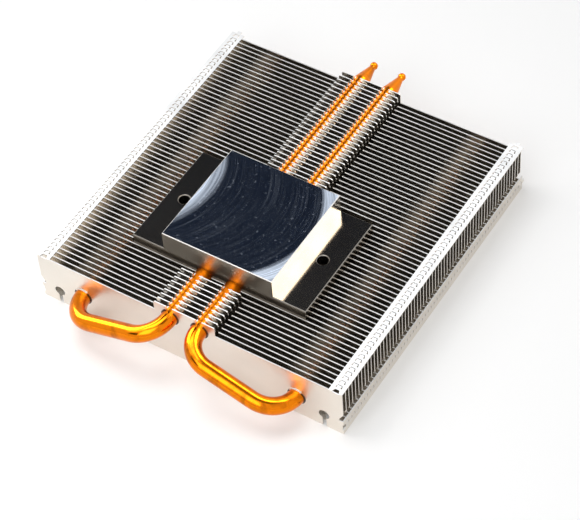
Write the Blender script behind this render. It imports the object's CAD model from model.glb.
# %% [markdown]
# # A fin-stack heat sink, standing on its fins
#
# The object is a cooler turned upside down: 61 thin aluminium fins, a nickel plated contact base
# on top of them, and two bent copper heat pipes. Its exact solids come from the CAD model. This
# notebook dresses them: it adds the fine pressed collars round the pipes and the lips and flux
# rings of the front fin, gives every surface its metal, and sets up a small photo studio.

from math import radians

import bmesh
import bpy
from mathutils import Euler, Matrix, Quaternion, Vector


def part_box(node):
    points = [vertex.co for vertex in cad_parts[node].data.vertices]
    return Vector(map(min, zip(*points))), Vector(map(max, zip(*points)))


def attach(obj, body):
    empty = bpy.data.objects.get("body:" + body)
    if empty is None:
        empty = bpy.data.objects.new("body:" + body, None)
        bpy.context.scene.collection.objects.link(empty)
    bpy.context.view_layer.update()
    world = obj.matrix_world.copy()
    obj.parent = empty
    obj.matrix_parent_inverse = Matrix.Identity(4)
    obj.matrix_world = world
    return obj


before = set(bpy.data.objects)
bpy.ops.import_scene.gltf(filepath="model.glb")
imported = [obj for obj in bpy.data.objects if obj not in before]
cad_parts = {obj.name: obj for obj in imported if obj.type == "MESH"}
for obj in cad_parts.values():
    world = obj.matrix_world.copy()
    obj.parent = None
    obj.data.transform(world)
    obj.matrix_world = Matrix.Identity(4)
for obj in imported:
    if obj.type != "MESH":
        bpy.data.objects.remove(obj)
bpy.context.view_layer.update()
mm = 0.001

# %% [markdown]
# ## Sizes that come from the frame
#
# Collars have to meet real fins and real pipes, so their places are read from the CAD boxes. A fin
# with the raised middle is one whose box reaches well above the plain fins. All fins could be
# typed in by number, but measuring them keeps this notebook right if the stack ever changes.

# %% Measure the fins
fin_boxes = {name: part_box(name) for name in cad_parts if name.startswith("fin_")}
foot_z = min(low.z for low, high in fin_boxes.values())
plain_top = min(high.z for low, high in fin_boxes.values())
fins_right = max(high.x for low, high in fin_boxes.values())
stack_front = min(low.y for low, high in fin_boxes.values())
last_front = max(low.y for low, high in fin_boxes.values())
ridged = sorted(name for name, (low, high) in fin_boxes.items() if high.z > plain_top + 2 * mm)
fin_pitch = 2.0 * mm
fin_thickness = 0.4 * mm
flange_width = 5.0 * mm
ridge_half = 12.1 * mm
fin_count = round((last_front - stack_front) / fin_pitch) + 1
print("fins:", fin_count, "ridged:", len(ridged), "height mm:", round((plain_top - foot_z) / mm, 2))

# %% Where the pipes' legs run
inner_leg_x = 5.75 * mm
inner_leg_z = foot_z + 20.5 * mm
outer_leg_x = 42.3 * mm
outer_leg_z = foot_z + 9.2 * mm
print("legs above the floor mm:", [round((z - foot_z) / mm, 2) for z in (inner_leg_z, outer_leg_z)])

# %% [markdown]
# ## Material helpers
#
# Every finish here is a Principled shader with a few nodes in front of it. The nodes could be
# wired by hand one by one, but short helpers keep the recipes readable: one starts a material,
# others add a node and plug its inputs. A value given to an input may be a number, a colour or
# another node's output.

# %% Helpers that build nodes
def start_material(name):
    """A new material with its Principled shader, ready for more nodes."""
    made = bpy.data.materials.new(name)
    made.use_nodes = True
    return made, made.node_tree.nodes["Principled BSDF"]


def plug(tree, socket, value):
    """Sets a socket, or links it when the value is another node's output."""
    if isinstance(value, bpy.types.NodeSocket):
        tree.links.new(value, socket)
    else:
        socket.default_value = value


def add_node(owner, kind, inputs=None, **settings):
    """Adds one node to a material's or world's tree and fills its inputs."""
    tree = owner.node_tree
    node = tree.nodes.new(kind)
    for key, value in settings.items():
        setattr(node, key, value)
    for key, value in (inputs or {}).items():
        plug(tree, node.inputs[key], value)
    return node


def dress_metal(made, shader, metallic, tone, rough, normal):
    """Plugs the four inputs that every metal here sets."""
    tree = made.node_tree
    plug(tree, shader.inputs["Metallic"], metallic)
    plug(tree, shader.inputs["Base Color"], tone)
    plug(tree, shader.inputs["Roughness"], rough)
    plug(tree, shader.inputs["Normal"], normal)


print("node helpers ready")

# %% Helpers for places and patterns
def axes_of(owner, kind):
    """X, Y and Z of each point: its place with Object, the way it looks with Normal."""
    vector = add_node(owner, "ShaderNodeTexCoord").outputs[kind]
    return add_node(owner, "ShaderNodeSeparateXYZ", {"Vector": vector}).outputs


def place_of(owner, scale=(1, 1, 1)):
    """Each point's place in metres, stretched: a pattern's ruler."""
    where = add_node(owner, "ShaderNodeTexCoord").outputs["Object"]
    return add_node(owner, "ShaderNodeMapping", {"Vector": where, "Scale": scale}).outputs["Vector"]


def noise(owner, where, scale, detail, distortion=0.0):
    """Cloudy noise between 0 and 1."""
    inputs = {"Vector": where, "Scale": scale, "Detail": detail, "Distortion": distortion}
    return add_node(owner, "ShaderNodeTexNoise", inputs).outputs["Fac"]


def raise_surface(owner, height, distance, under=None):
    """A bump from a height field; distance is the real height in metres."""
    inputs = {"Height": height, "Distance": distance}
    if under is not None:
        inputs["Normal"] = under
    return add_node(owner, "ShaderNodeBump", inputs).outputs["Normal"]


print("pattern helpers ready")

# %% Helpers for arithmetic
def calculate(owner, operation, first, second=0.0):
    """One step of arithmetic."""
    node = add_node(owner, "ShaderNodeMath", operation=operation)
    plug(owner.node_tree, node.inputs[0], first)
    plug(owner.node_tree, node.inputs[1], second)
    return node.outputs[0]


def total(owner, first, second):
    """First plus second."""
    return calculate(owner, "ADD", first, second)


def difference(owner, first, second):
    """First minus second."""
    return calculate(owner, "SUBTRACT", first, second)


def product(owner, first, second):
    """First times second."""
    return calculate(owner, "MULTIPLY", first, second)


def unsigned(owner, value):
    """A value without its sign."""
    return calculate(owner, "ABSOLUTE", value)


def spread(owner, value, low, high, to_low=0.0, to_high=1.0):
    """Maps a range of values to another range, and clamps it."""
    inputs = {"Value": value, "From Min": low, "From Max": high, "To Min": to_low, "To Max": to_high}
    return add_node(owner, "ShaderNodeMapRange", inputs).outputs["Result"]


def blend_colours(owner, amount, first, second):
    """Mixes two colours by an amount."""
    node = add_node(owner, "ShaderNodeMix", data_type="RGBA")
    plug(owner.node_tree, node.inputs[0], amount)
    plug(owner.node_tree, node.inputs[6], first)
    plug(owner.node_tree, node.inputs[7], second)
    return node.outputs[2]


def blend_values(owner, amount, first, second):
    """Mixes two numbers by an amount."""
    node = add_node(owner, "ShaderNodeMix", data_type="FLOAT")
    plug(owner.node_tree, node.inputs[0], amount)
    plug(owner.node_tree, node.inputs[2], first)
    plug(owner.node_tree, node.inputs[3], second)
    return node.outputs[0]


print("arithmetic helpers ready")

# %% [markdown]
# ## Rolled aluminium
#
# Fin sheet comes off a roll, so its flat sides are bright and mirror softly, with fine streaks
# and slow waves from the press. Its cut edges and the outer faces of its folds are scuffed and
# look almost white. One material can serve both: the direction that a face looks in tells them
# apart, because only edges and folds look upwards. Painting the edges as separate pieces would
# give the same picture with thousands of extra faces.
#
# Two parts of the sheet are duller. The front fin's outer face has been handled, so it mirrors
# the pipes only close by. And the webs beside the outer legs carry a thin film from the
# soldering, which shows as a warm streak down the stack. Both are masked by place.

# %% Tones and finish of the fin sheet
rolled_tones = ((0.76, 0.71, 0.64, 1), (0.84, 0.79, 0.72, 1))
cut_tones = ((0.52, 0.52, 0.52, 1), (0.68, 0.68, 0.67, 1))
flange_tones = ((0.76, 0.77, 0.78, 1), (0.88, 0.88, 0.88, 1))
film_tone = (0.86, 0.76, 0.64, 1)
film_reach = 4.5 * mm
film_core = 0.5 * mm
film_strength = 0.6
rolled_rough = (0.17, 0.22)
edge_rough = (0.42, 0.55)
film_rough = 0.5
front_rough = 0.36
scuffed_metallic = 0.45
wave_height = 0.02 * mm
grain_height = 0.002 * mm
mask_blend = 0.1 * mm
print("film reaches mm:", round(film_reach / mm, 1))


# %% Where the fin sheet changes
def on_flange(owner, place):
    """1 over the flanges at both ends of a fin and over the raised middle."""
    aside = unsigned(owner, place["X"])
    fold = fins_right - flange_width
    at_ends = spread(owner, aside, fold - mask_blend, fold)
    in_middle = spread(owner, aside, ridge_half, ridge_half - mask_blend)
    return total(owner, at_ends, in_middle)


def soldering_film(owner, place):
    """How strong the film is: only beside the outer legs, and not on the stack's end faces."""
    off_leg = unsigned(owner, difference(owner, unsigned(owner, place["X"]), outer_leg_x))
    past_front = spread(owner, place["Y"], stack_front + fin_thickness, stack_front + fin_pitch)
    before_back = spread(owner, place["Y"], last_front, last_front - fin_pitch / 2)
    beside_leg = spread(owner, off_leg, film_reach, film_core, 0, film_strength)
    return product(owner, product(owner, past_front, before_back), beside_leg)


def flat_roughness(owner, place, film, streaks):
    """Bright inside the stack, dull in the film and on the front fin's outer face."""
    rolled = spread(owner, streaks, 0.3, 0.7, *rolled_rough)
    filmed = blend_values(owner, film, rolled, film_rough)
    front_face = spread(owner, place["Y"], stack_front + 2 * mask_blend, stack_front + mask_blend)
    return blend_values(owner, front_face, filmed, front_rough)


print("fin sheet masks ready")

# %% Fin sheet material
def make_fin_sheet():
    """Bright rolled aluminium, scuffed where it looks up or down, and whitest on the flanges."""
    made, shader = start_material("rolled_aluminium")
    place = axes_of(made, "Object")
    scuffed = spread(made, unsigned(made, axes_of(made, "Normal")["Z"]), 0.75, 0.95)
    film = soldering_film(made, place)
    clouds = noise(made, place_of(made), 90, detail=4)
    streaks = noise(made, place_of(made, scale=(60, 900, 1400)), 1.0, detail=2)
    cut_tone = blend_colours(made, clouds, *cut_tones)
    flange_tone = blend_colours(made, clouds, *flange_tones)
    edge_tone = blend_colours(made, on_flange(made, place), cut_tone, flange_tone)
    flat_tone = blend_colours(made, film, blend_colours(made, clouds, *rolled_tones), film_tone)
    tone = blend_colours(made, scuffed, flat_tone, edge_tone)
    flat_rough = flat_roughness(made, place, film, streaks)
    rough = blend_values(made, scuffed, flat_rough, spread(made, clouds, 0.3, 0.7, *edge_rough))
    waves = raise_surface(made, noise(made, place_of(made), 40, detail=1), wave_height)
    grain = raise_surface(made, streaks, grain_height, under=waves)
    dress_metal(made, shader, spread(made, scuffed, 0, 1, 1.0, scuffed_metallic), tone, rough, grain)
    return made


fin_sheet = make_fin_sheet()
for name in fin_boxes:
    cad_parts[name].data.materials[0] = fin_sheet
print("fin nodes in rolled aluminium:", len(fin_boxes))

# %% [markdown]
# ## Nickel plate with a fly-cut contact face
#
# The base is a nickel plated block. Its top was cut by one tool swinging on a wide circle while
# the block moved past it. That leaves arcs that all have the same radius and only shift along
# the feed. A ring pattern would draw circles round one centre, which bend too much on one side.
# So the recipe works out, for each point, how far along the feed its arc lies, and draws
# streaks along that number. Where the arcs catch the lamps, the face is hazy and pale.
#
# The same recipe serves the rest of the block, masked by place and direction: brownish sides
# that darken towards the plate, pale worn edges, and dark walls in the two holes. Separate
# materials would need the solid's faces to be told apart one by one.

# %% Sizes and tones of the nickel
base_low, base_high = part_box("base")
arc_radius = 32 * mm
arc_middle_y = 1.0 * mm
haze_left = -47.6 * mm
haze_right = -10.6 * mm
rim_width = 1.5 * mm
haze_share = 0.95
line_share = 0.042
smudge_share = 0.10
hole_x = 27.5 * mm
hole_radius = 2.0 * mm
side_tones = ((0.42, 0.37, 0.30, 1), (0.54, 0.48, 0.40, 1))
low_tone = (0.19, 0.155, 0.115, 1)
face_tone = (0.74, 0.84, 1.0, 1)
worn_tones = ((0.28, 0.26, 0.23, 1), (0.95, 0.93, 0.90, 1))
hole_tone = (0.02, 0.018, 0.015, 1)
face_rough = 0.07
haze_rough = 0.25
side_roughs = (0.2, 0.3)
plate_top_rough = 0.13
worn_rough = 0.4
worn_metallic = 0.5
groove_height = 0.002 * mm
print("base box mm:", [round(v / mm, 1) for v in base_high - base_low])


# %% Where each cutting arc lies
def feed_of(owner, place):
    """How far along X the cutting arc through a point lies."""
    aside = difference(owner, place["Y"], arc_middle_y)
    reach = calculate(owner, "SQRT", difference(owner, arc_radius**2, product(owner, aside, aside)))
    return difference(owner, place["X"], reach)


def arc_streaks(owner, feed, along, fineness, stretch):
    """Noise that changes quickly from arc to arc and slowly along each arc."""
    ruler = {"X": product(owner, feed, fineness), "Y": product(owner, along, stretch)}
    return noise(owner, add_node(owner, "ShaderNodeCombineXYZ", ruler).outputs["Vector"], 1.0, detail=2)


print("cutting arcs of radius mm:", round(arc_radius / mm, 1))

# %% Where the base has edges and holes
def worn_edges(owner, looks):
    """1 on chamfers and countersinks, which look halfway up."""
    slope = unsigned(owner, looks["Z"])
    return product(owner, spread(owner, slope, 0.4, 0.6), spread(owner, slope, 0.9, 0.8))


def bore_walls(owner, place):
    """1 on the walls of the two holes through the plate."""
    aside = difference(owner, unsigned(owner, place["X"]), hole_x)
    squares = total(owner, product(owner, aside, aside), product(owner, place["Y"], place["Y"]))
    away = calculate(owner, "SQRT", squares)
    return spread(owner, away, hole_radius + 0.05 * mm, hole_radius + 0.02 * mm)


print("holes of the base at mm:", round(hole_x / mm, 1))

# %% How the contact face scatters light
def face_haze(owner, feed, fine, broad):
    """How hazy each arc is: pale at both ends of the feed, and streaky along the arcs."""
    left_rim = spread(owner, feed, haze_left, haze_left - rim_width, 0, 0.4)
    left_deep = spread(owner, feed, haze_left - rim_width, haze_left - 5.0 * mm, 0, 0.6)
    right = spread(owner, feed, haze_right, haze_right + 2.5 * mm)
    haze = total(owner, total(owner, left_rim, left_deep), right)
    haze = product(owner, haze, spread(owner, broad, 0.3, 0.6, 0.4, 1.0))
    return product(owner, haze, spread(owner, fine, 0.35, 0.6, 0.6, 1.0))


def face_scatter(owner, haze, fine, broad):
    """The part of the light that is scattered: haze, single cutting lines and small smudges."""
    lines = product(owner, spread(owner, fine, 0.5, 0.62), spread(owner, broad, 0.35, 0.6, 0.35, 1.0))
    smudges = spread(owner, noise(owner, place_of(owner), 650, detail=2), 0.66, 0.69)
    arcs = total(owner, product(owner, haze, haze_share), product(owner, lines, line_share))
    return total(owner, arcs, product(owner, smudges, smudge_share))


print("contact face recipe ready")

# %% Colour and roughness of the base
def nickel_tone(owner, place, on_face, worn):
    """Brownish sides that darken low down, a bluish face, pale worn edges and dark holes."""
    stains = noise(owner, place_of(owner), 120, detail=5)
    low_down = spread(owner, place["Z"], -7.8 * mm, -9.0 * mm)
    side_tone = blend_colours(owner, low_down, blend_colours(owner, stains, *side_tones), low_tone)
    near_face = spread(owner, place["Z"], -1.0 * mm, -0.5 * mm)
    worn_tone = blend_colours(owner, near_face, *worn_tones)
    tone = blend_colours(owner, worn, blend_colours(owner, on_face, side_tone, face_tone), worn_tone)
    return blend_colours(owner, bore_walls(owner, place), tone, hole_tone)


def nickel_roughness(owner, looks, on_face, haze, worn):
    """Nearly a mirror on the face, softer on the plate and the sides, dull on worn edges."""
    on_arcs = total(owner, product(owner, haze, haze_rough), face_rough)
    upright = spread(owner, unsigned(owner, looks["Y"]), 0.5, 0.9, *side_roughs)
    elsewhere = blend_values(owner, spread(owner, looks["Z"], 0.9, 0.95), upright, plate_top_rough)
    return blend_values(owner, worn, blend_values(owner, on_face, elsewhere, on_arcs), worn_rough)


print("colour and roughness recipes ready")

# %% Nickel material
def make_nickel():
    """Nickel plate: brownish and satin, with a polished and fly-cut contact face."""
    made, shader = start_material("nickel_plate")
    place = axes_of(made, "Object")
    looks = axes_of(made, "Normal")
    on_face = spread(made, place["Z"], -0.02 * mm, -0.01 * mm)
    feed = feed_of(made, place)
    fine = arc_streaks(made, feed, place["Y"], 3000, 45)
    broad = arc_streaks(made, feed, place["Y"], 500, 25)
    haze = face_haze(made, feed, fine, broad)
    scatter = product(made, face_scatter(made, haze, fine, broad), on_face)
    worn = worn_edges(made, looks)
    metallic = blend_values(made, worn, difference(made, 1.0, scatter), worn_metallic)
    tone = nickel_tone(made, place, on_face, worn)
    rough = nickel_roughness(made, looks, on_face, haze, worn)
    grooves = raise_surface(made, product(made, fine, on_face), groove_height)
    dress_metal(made, shader, metallic, tone, rough, grooves)
    return made


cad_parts["base"].data.materials[0] = make_nickel()
print("base in nickel plate")

# %% [markdown]
# ## Copper heat pipes
#
# Copper is strongly coloured: white light comes back orange, and only a very strong light looks
# yellow, because its red part has run out of room first. So the base colour is a deep orange and
# the yellow bands are left to the lamps. Clouds of brown tarnish and fine drawing lines along the
# tube keep it from looking like paint. Inside the fins the tube was heated when it was soldered
# in, so it is duller there than in the bends.

# %% Copper material
copper_tone = (0.82, 0.215, 0.005, 1)
tarnish_tone = (0.32, 0.075, 0.004, 1)
bend_rough = (0.12, 0.2)
heated_rough = 0.3
drawn_height = 0.006 * mm


def make_copper():
    """Drawn copper with brown tarnish: bright in the bends, dull where it was heated in the fins."""
    made, shader = start_material("drawn_copper")
    clouds = noise(made, place_of(made), 220, detail=6, distortion=0.6)
    tone = blend_colours(made, spread(made, clouds, 0.5, 0.8), copper_tone, tarnish_tone)
    lines = noise(made, place_of(made, scale=(900, 200, 900)), 1.0, detail=2)
    heated = spread(made, axes_of(made, "Object")["Y"], stack_front - 2 * mm, stack_front + 2 * mm)
    rough = blend_values(made, heated, spread(made, clouds, 0.3, 0.7, *bend_rough), heated_rough)
    dress_metal(made, shader, 1.0, tone, rough, raise_surface(made, lines, drawn_height))
    return made


copper = make_copper()
for name in ("heat_pipe_left", "heat_pipe_right"):
    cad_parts[name].data.materials[0] = copper
print("pipes in drawn copper")

# %% [markdown]
# ## Collars round the pipes
#
# Where a pipe runs through a fin, the press pulls a short collar out of the sheet. It grips the
# pipe and reaches towards the next fin. On the ridged fins it is open on top, so copper shows as
# a narrow stripe between two bright lips. Round the outer legs it is closed. A collar could be
# cut from a tube with a boolean. Spinning its small profile round the pipe's axis, and stopping
# short of a full turn for the open ones, gives the same form with clean faces, and the gap comes
# for free.

# %% Spin a section round a pipe
spin_steps = 26
whole_turn = (0, 360)


def spin_profile(mesh, leg, side, profile, arc):
    """Spins a section round a leg's axis, through an arc whose two angles count from the top."""
    axis = Vector((side * leg[0], 0, leg[1]))
    rim = Matrix.Rotation(radians(arc[0]), 3, "Y")
    corners = []
    for distance, along in profile:
        corners.append(mesh.verts.new(axis + rim @ Vector((0, 0, distance)) + Vector((0, along, 0))))
    face = mesh.faces.new(corners)
    closed = arc == whole_turn
    bmesh.ops.spin(
        mesh,
        geom=[face],
        cent=axis,
        axis=(0, 1, 0),
        angle=radians(arc[1] - arc[0]),
        steps=spin_steps,
        use_merge=closed,
        use_duplicate=False,
    )
    if closed:
        mesh.faces.remove(face)


print("steps in each turn:", spin_steps)

# %% Turn a mesh into a piece
def to_object(mesh, name, material):
    """Turns a bmesh into an object of the scene with one material."""
    data = bpy.data.meshes.new(name)
    mesh.to_mesh(data)
    mesh.free()
    data.materials.append(material)
    made = bpy.data.objects.new(name, data)
    bpy.context.scene.collection.objects.link(made)
    return made


def finish_piece(mesh, name, material):
    """Cleans a bmesh and turns it into a piece of the frame with its material and slot."""
    bmesh.ops.remove_doubles(mesh, verts=mesh.verts, dist=1e-6)
    bmesh.ops.recalc_face_normals(mesh, faces=mesh.faces)
    piece = to_object(mesh, name, material)
    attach(piece, "root")
    print(name, "faces:", len(piece.data.polygons))


print("piece helpers ready")

# %% Collars, open on the inner legs and round on the outer ones
inner_leg = (inner_leg_x, inner_leg_z)
outer_leg = (outer_leg_x, outer_leg_z)
collar_bore = 3.03 * mm
collar_wall = 0.32 * mm
collar_root = 0.35 * mm
inner_collar_length = 1.25 * mm
outer_collar_length = 1.0 * mm
open_arc = (19, 341)
ridged_backs = [fin_boxes[name][0].y + fin_thickness for name in ridged]
all_backs = [stack_front + number * fin_pitch + fin_thickness for number in range(fin_count)]


def collar_profile(start, length):
    """Corners of the wall's section, as distance from the axis and place along it."""
    outside = collar_bore + collar_wall
    return [
        (collar_bore, start),
        (outside + collar_root, start),
        (outside + 0.3 * collar_root, start + 0.3 * collar_root),
        (outside, start + collar_root),
        (outside, start + length),
        (collar_bore, start + length),
    ]


def make_collars(name, side, leg, backs, length, arc):
    """All collars along one leg, one behind each fin whose web's back is given."""
    mesh = bmesh.new()
    for back in backs:
        spin_profile(mesh, leg, side, collar_profile(back, length), arc)
    finish_piece(mesh, name, fin_sheet)


make_collars("inner_collars_left", -1, inner_leg, ridged_backs, inner_collar_length, open_arc)
make_collars("inner_collars_right", 1, inner_leg, ridged_backs, inner_collar_length, open_arc)
make_collars("outer_collars_left", -1, outer_leg, all_backs, outer_collar_length, whole_turn)
make_collars("outer_collars_right", 1, outer_leg, all_backs, outer_collar_length, whole_turn)

# %% [markdown]
# ## Mouths of the front fin
#
# The first fin's outer holes have small raised lips where the punch pulled metal forward, and a
# dark ring of burnt flux sits between each hole and its pipe. Both are thin rings round the
# pipe's axis, so the collar's spin makes them too. A painted ring on the fin would look flat from
# the side, while these catch light and shade. The arcs have gaps, because the flux ran off in
# places.

# %% Burnt flux
flux_tones = ((0.05, 0.025, 0.01, 1), (0.02, 0.012, 0.008, 1))
flux_rough = (0.25, 0.5)


def make_flux():
    """Burnt flux: nearly black brown, in shiny and dull spots."""
    made, shader = start_material("burnt_flux")
    spots = noise(made, place_of(made), 900, detail=3)
    plug(made.node_tree, shader.inputs["Base Color"], blend_colours(made, spots, *flux_tones))
    plug(made.node_tree, shader.inputs["Roughness"], spread(made, spots, 0.3, 0.7, *flux_rough))
    return made


flux = make_flux()
print("flux roughness:", flux_rough)

# %% Lips and flux rings
lip_arc = (-48, 34)
outer_flux_arcs = ((40, 150), (235, 306))
inner_flux_arc = (30, 330)


def ring_section(inner, outer, height):
    """A rectangle between two radii that stands forward from the front fin."""
    top = stack_front - height
    return [(inner, top), (outer, top), (outer, stack_front), (inner, stack_front)]


def make_mouths():
    """Lips over the outer legs, and flux rings round all four legs, on the front fin."""
    lips = bmesh.new()
    rings = bmesh.new()
    raised = ring_section(3.06 * mm, 3.5 * mm, 0.35 * mm)
    low_ring = ring_section(3.01 * mm, 3.45 * mm, 0.12 * mm)
    for side in (-1, 1):
        spin_profile(lips, outer_leg, side, raised, lip_arc)
        for arc in outer_flux_arcs:
            spin_profile(rings, outer_leg, side, low_ring, arc)
        spin_profile(rings, inner_leg, side, low_ring, inner_flux_arc)
    finish_piece(lips, "hole_lips", fin_sheet)
    finish_piece(rings, "flux_rings", flux)


make_mouths()

# %% [markdown]
# ## The floor and the surround
#
# Metal shows its surroundings, so the studio matters as much as the materials. A pale floor
# catches the soft shadow. The white background could be one bright world, but that would wash
# out the shadows. So the floor and the world glow only where they are seen, for camera, glossy
# and transmission rays, and add little light to the object. The floor's glow grows with distance
# and keeps the far floor white from any angle.

# %% Floor and world
floor_size = 12.0
floor_gap = 0.05 * mm
floor_grey = (0.9, 0.9, 0.9)
glow_starts, glow_full = 0.2, 0.8
glow_near, glow_far = 0.07, 0.7
world_lights, world_shows = 0.38, 1.0
no_turn = Quaternion()


def seen_directly(owner):
    """1 for camera, glossy and transmission rays, and 0 for the rays that light the object."""
    path = add_node(owner, "ShaderNodeLightPath").outputs
    some = calculate(owner, "MAXIMUM", path["Is Camera Ray"], path["Is Glossy Ray"])
    return calculate(owner, "MAXIMUM", some, path["Is Transmission Ray"])


def start_matt(name, colour, rough):
    """A material without gloss, for the things of the studio."""
    made, shader = start_material(name)
    shader.inputs["Base Color"].default_value = (*colour, 1)
    shader.inputs["Roughness"].default_value = rough
    shader.inputs["Specular IOR Level"].default_value = 0.0
    return made, shader


def flat_sheet(name, width, height, place, turn, material):
    """A flat rectangle that looks along its own Z before it is turned and moved."""
    mesh = bmesh.new()
    bmesh.ops.create_grid(mesh, x_segments=1, y_segments=1, size=0.5)
    bmesh.ops.scale(mesh, verts=mesh.verts, vec=(width, height, 1))
    bmesh.ops.rotate(mesh, verts=mesh.verts, cent=(0, 0, 0), matrix=turn.to_matrix())
    bmesh.ops.translate(mesh, verts=mesh.verts, vec=place)
    return to_object(mesh, name, material)


def make_floor():
    """A wide pale floor that keeps the shadow and is white elsewhere."""
    made, shader = start_matt("pale_floor", floor_grey, 0.9)
    where = add_node(made, "ShaderNodeTexCoord").outputs["Object"]
    distance = add_node(made, "ShaderNodeVectorMath", {0: where}, operation="LENGTH").outputs["Value"]
    glow = spread(made, distance, glow_starts, glow_full, glow_near, glow_far)
    shader.inputs["Emission Color"].default_value = (1, 1, 1, 1)
    plug(made.node_tree, shader.inputs["Emission Strength"], product(made, seen_directly(made), glow))
    floor = flat_sheet("floor", floor_size, floor_size, (0, 0, foot_z - floor_gap), no_turn, made)


def make_world():
    """A white surround that lights only gently."""
    world = bpy.data.worlds.new("studio")
    bpy.context.scene.world = world
    world.use_nodes = True
    background = world.node_tree.nodes["Background"]
    background.inputs["Color"].default_value = (1, 1, 1, 1)
    strength = spread(world, seen_directly(world), 0, 1, world_lights, world_shows)
    plug(world.node_tree, background.inputs["Strength"], strength)


make_floor()
make_world()
print("floor at mm:", round(foot_z / mm, 2))

# %% [markdown]
# ## Lamps and cards
#
# Three square soft lamps light the object from above, and two more are only there to be mirrored:
# they draw bright bands on the metal and don't light dull surfaces. Three cards stand where the
# contact face and the pipes should mirror something dark or grey. Glowing planes could replace
# the lamps, but area lamps give soft shadows with less grain. An all white studio without cards
# would turn polished nickel white. Cards cast no shadow and the camera doesn't see them.

# %% Lamp and card makers
centre = Vector((0, 0.015, -0.02))
watts_for_white = 4


def aimed(direction, distance):
    """A place in a direction from the object, and the turn that faces back to it."""
    away = Vector(direction).normalized()
    return centre + away * distance, away.to_track_quat("Z", "Y")


def soft_lamp(name, direction, distance, size, brightness, lights_up=True):
    """One square softbox that faces the object; brightness is how it looks in a mirror.

    A lamp that doesn't light up the scene is only there to be mirrored in the metal.
    """
    light = bpy.data.lights.new(name, "AREA")
    light.size = size
    light.energy = watts_for_white * brightness * size**2
    lamp = bpy.data.objects.new(name, light)
    lamp.rotation_mode = "QUATERNION"
    lamp.location, lamp.rotation_quaternion = aimed(direction, distance)
    lamp.visible_diffuse = lights_up
    bpy.context.scene.collection.objects.link(lamp)


def dark_card(name, direction, distance, width, height, colour):
    """A card for the metal to mirror; it casts no shadow and the camera doesn't see it."""
    place, turn = aimed(direction, distance)
    card = flat_sheet(name, width, height, place, turn, start_matt(name, colour, 1.0)[0])
    card.visible_camera = False
    card.visible_shadow = False
    card.visible_diffuse = False


print("lamps aim at mm:", [round(v / mm) for v in centre])

# %% Five lamps and three cards
soft_lamp("strip_left", (-0.84, 0.12, 0.52), distance=0.9, size=0.5, brightness=5.0, lights_up=False)
soft_lamp("strip_behind", (0.30, 0.55, 0.78), distance=0.85, size=0.40, brightness=5.0, lights_up=False)
soft_lamp("key_overhead", (-0.25, 0.05, 0.97), distance=0.85, size=0.50, brightness=2.6)
soft_lamp("fill_left", (-0.60, -0.20, 0.77), distance=0.90, size=0.50, brightness=1.5)
soft_lamp("fill_front", (0.09, -0.68, 0.72), distance=0.85, size=0.60, brightness=2.0)
nearly_black = (0.015, 0.02, 0.032)
middle_grey = (0.35, 0.35, 0.35)
soot = (0.02, 0.02, 0.02)
dark_card("card_behind", (-0.40, 0.56, 0.72), distance=0.62, width=0.44, height=0.42, colour=nearly_black)
dark_card("card_top", (0.28, 0.06, 0.96), distance=0.7, width=0.34, height=0.34, colour=middle_grey)
dark_card("card_front", (-0.40, -0.76, 0.50), distance=0.7, width=0.34, height=0.18, colour=soot)
print("five lamps, two of them only mirrored, and three cards")

# %% [markdown]
# ## The camera
#
# The camera was found by matching known corners of the model with the same corners in the
# photograph: a long lens, about 0.76 m away, looking down steeply from the front right, with the
# picture turned by a few degrees. It could be placed by eye, but then the fins' lines would fan
# out differently.

# %% Camera
camera_place = (0.2913, -0.3895, 0.5517)
camera_turn = (40.03, 3.05, 31.80)
camera_lens = 137.5
camera_sensor = 36.0
clip_near, clip_far = 0.01, 50.0

camera = bpy.data.objects.new("camera", bpy.data.cameras.new("camera"))
camera.data.lens = camera_lens
camera.data.sensor_width = camera_sensor
camera.data.clip_start = clip_near
camera.data.clip_end = clip_far
camera.location = camera_place
camera.rotation_euler = Euler([radians(angle) for angle in camera_turn])
bpy.context.scene.collection.objects.link(camera)
bpy.context.scene.camera = camera
bpy.context.scene.view_settings.view_transform = "Standard"
print("camera lens mm:", camera.data.lens)
